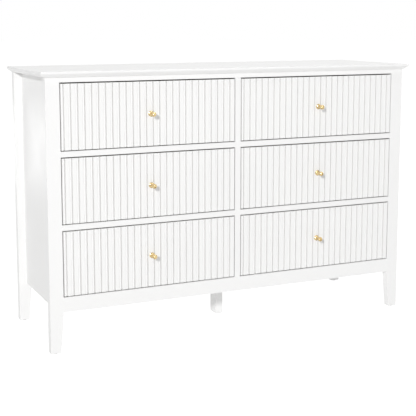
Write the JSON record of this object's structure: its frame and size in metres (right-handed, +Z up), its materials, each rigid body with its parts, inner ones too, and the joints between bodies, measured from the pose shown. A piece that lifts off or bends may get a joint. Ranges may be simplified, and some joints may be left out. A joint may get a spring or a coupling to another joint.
{
  "type": "dresser",
  "caption": "Low, wide dresser on tapered legs with two columns of inset drawers on ball-bearing slides, beaded fronts, round knobs and an undercut top.",
  "frame": {"origin": "on the floor, in the middle of the dresser's width and of its depth with the knobs included", "axes": "+X to the right as seen from the front, along the width; +Y from the front to the back; +Z up"},
  "size_m": [1.2, 0.404, 0.796],
  "materials": {
    "white_paint": "satin white paint",
    "drawer_wood": "clear lacquered birch plywood",
    "hardboard": "white-faced hardboard",
    "brass": "satin, slightly aged",
    "zinc_steel": "bright zinc plate",
    "nylon": "matt"
  },
  "bodies": {
    "carcass": {"top_panel": "white_paint", "front_left_leg": "white_paint", "rear_left_leg": "white_paint", "left_side_panel": "white_paint", "left_upper_mid_rail": "white_paint", "left_lower_mid_rail": "white_paint", "front_right_leg": "white_paint", "rear_right_leg": "white_paint", "right_side_panel": "white_paint", "right_upper_mid_rail": "white_paint", "right_lower_mid_rail": "white_paint", "centre_leg": "white_paint", "foot_glides": "nylon", "front_bottom_rail": "white_paint", "bottom_panel": "white_paint", "rear_bottom_rail": "white_paint", "front_top_rail": "white_paint", "rear_top_rail": "white_paint", "centre_partition": "white_paint", "back_panel": "hardboard", "top_screws": "zinc_steel", "back_screws": "zinc_steel", "slide_outer_members": "zinc_steel"},
    "left_top_drawer": {"left_top_drawer_front": "white_paint", "left_top_drawer_box": "drawer_wood", "left_top_drawer_bottom": "hardboard", "left_top_knob": "brass", "left_top_slide_inner": "zinc_steel"},
    "left_top_slides": {"left_top_slide_middle": "zinc_steel"},
    "left_middle_drawer": {"left_middle_drawer_front": "white_paint", "left_middle_drawer_box": "drawer_wood", "left_middle_drawer_bottom": "hardboard", "left_middle_knob": "brass", "left_middle_slide_inner": "zinc_steel"},
    "left_middle_slides": {"left_middle_slide_middle": "zinc_steel"},
    "left_bottom_drawer": {"left_bottom_drawer_front": "white_paint", "left_bottom_drawer_box": "drawer_wood", "left_bottom_drawer_bottom": "hardboard", "left_bottom_knob": "brass", "left_bottom_slide_inner": "zinc_steel"},
    "left_bottom_slides": {"left_bottom_slide_middle": "zinc_steel"},
    "right_top_drawer": {"right_top_drawer_front": "white_paint", "right_top_drawer_box": "drawer_wood", "right_top_drawer_bottom": "hardboard", "right_top_knob": "brass", "right_top_slide_inner": "zinc_steel"},
    "right_top_slides": {"right_top_slide_middle": "zinc_steel"},
    "right_middle_drawer": {"right_middle_drawer_front": "white_paint", "right_middle_drawer_box": "drawer_wood", "right_middle_drawer_bottom": "hardboard", "right_middle_knob": "brass", "right_middle_slide_inner": "zinc_steel"},
    "right_middle_slides": {"right_middle_slide_middle": "zinc_steel"},
    "right_bottom_drawer": {"right_bottom_drawer_front": "white_paint", "right_bottom_drawer_box": "drawer_wood", "right_bottom_drawer_bottom": "hardboard", "right_bottom_knob": "brass", "right_bottom_slide_inner": "zinc_steel"},
    "right_bottom_slides": {"right_bottom_slide_middle": "zinc_steel"}
  },
  "joints": [
    {"name": "left_top_drawer_slide", "type": "slide", "parent": "carcass", "child": "left_top_drawer", "axis": [0, -1, 0], "range_m": [0, 0.29]},
    {"name": "left_top_slides_travel", "type": "slide", "parent": "carcass", "child": "left_top_slides", "axis": [0, -1, 0], "range_m": [0, 0.145]},
    {"name": "left_middle_drawer_slide", "type": "slide", "parent": "carcass", "child": "left_middle_drawer", "axis": [0, -1, 0], "range_m": [0, 0.29]},
    {"name": "left_middle_slides_travel", "type": "slide", "parent": "carcass", "child": "left_middle_slides", "axis": [0, -1, 0], "range_m": [0, 0.145]},
    {"name": "left_bottom_drawer_slide", "type": "slide", "parent": "carcass", "child": "left_bottom_drawer", "axis": [0, -1, 0], "range_m": [0, 0.29]},
    {"name": "left_bottom_slides_travel", "type": "slide", "parent": "carcass", "child": "left_bottom_slides", "axis": [0, -1, 0], "range_m": [0, 0.145]},
    {"name": "right_top_drawer_slide", "type": "slide", "parent": "carcass", "child": "right_top_drawer", "axis": [0, -1, 0], "range_m": [0, 0.29]},
    {"name": "right_top_slides_travel", "type": "slide", "parent": "carcass", "child": "right_top_slides", "axis": [0, -1, 0], "range_m": [0, 0.145]},
    {"name": "right_middle_drawer_slide", "type": "slide", "parent": "carcass", "child": "right_middle_drawer", "axis": [0, -1, 0], "range_m": [0, 0.29]},
    {"name": "right_middle_slides_travel", "type": "slide", "parent": "carcass", "child": "right_middle_slides", "axis": [0, -1, 0], "range_m": [0, 0.145]},
    {"name": "right_bottom_drawer_slide", "type": "slide", "parent": "carcass", "child": "right_bottom_drawer", "axis": [0, -1, 0], "range_m": [0, 0.29]},
    {"name": "right_bottom_slides_travel", "type": "slide", "parent": "carcass", "child": "right_bottom_slides", "axis": [0, -1, 0], "range_m": [0, 0.145]}
  ],
  "couplings": [
    {"joint": "left_top_slides_travel", "follows": "left_top_drawer_slide", "ratio": 0.5},
    {"joint": "left_middle_slides_travel", "follows": "left_middle_drawer_slide", "ratio": 0.5},
    {"joint": "left_bottom_slides_travel", "follows": "left_bottom_drawer_slide", "ratio": 0.5},
    {"joint": "right_top_slides_travel", "follows": "right_top_drawer_slide", "ratio": 0.5},
    {"joint": "right_middle_slides_travel", "follows": "right_middle_drawer_slide", "ratio": 0.5},
    {"joint": "right_bottom_slides_travel", "follows": "right_bottom_drawer_slide", "ratio": 0.5}
  ]
}
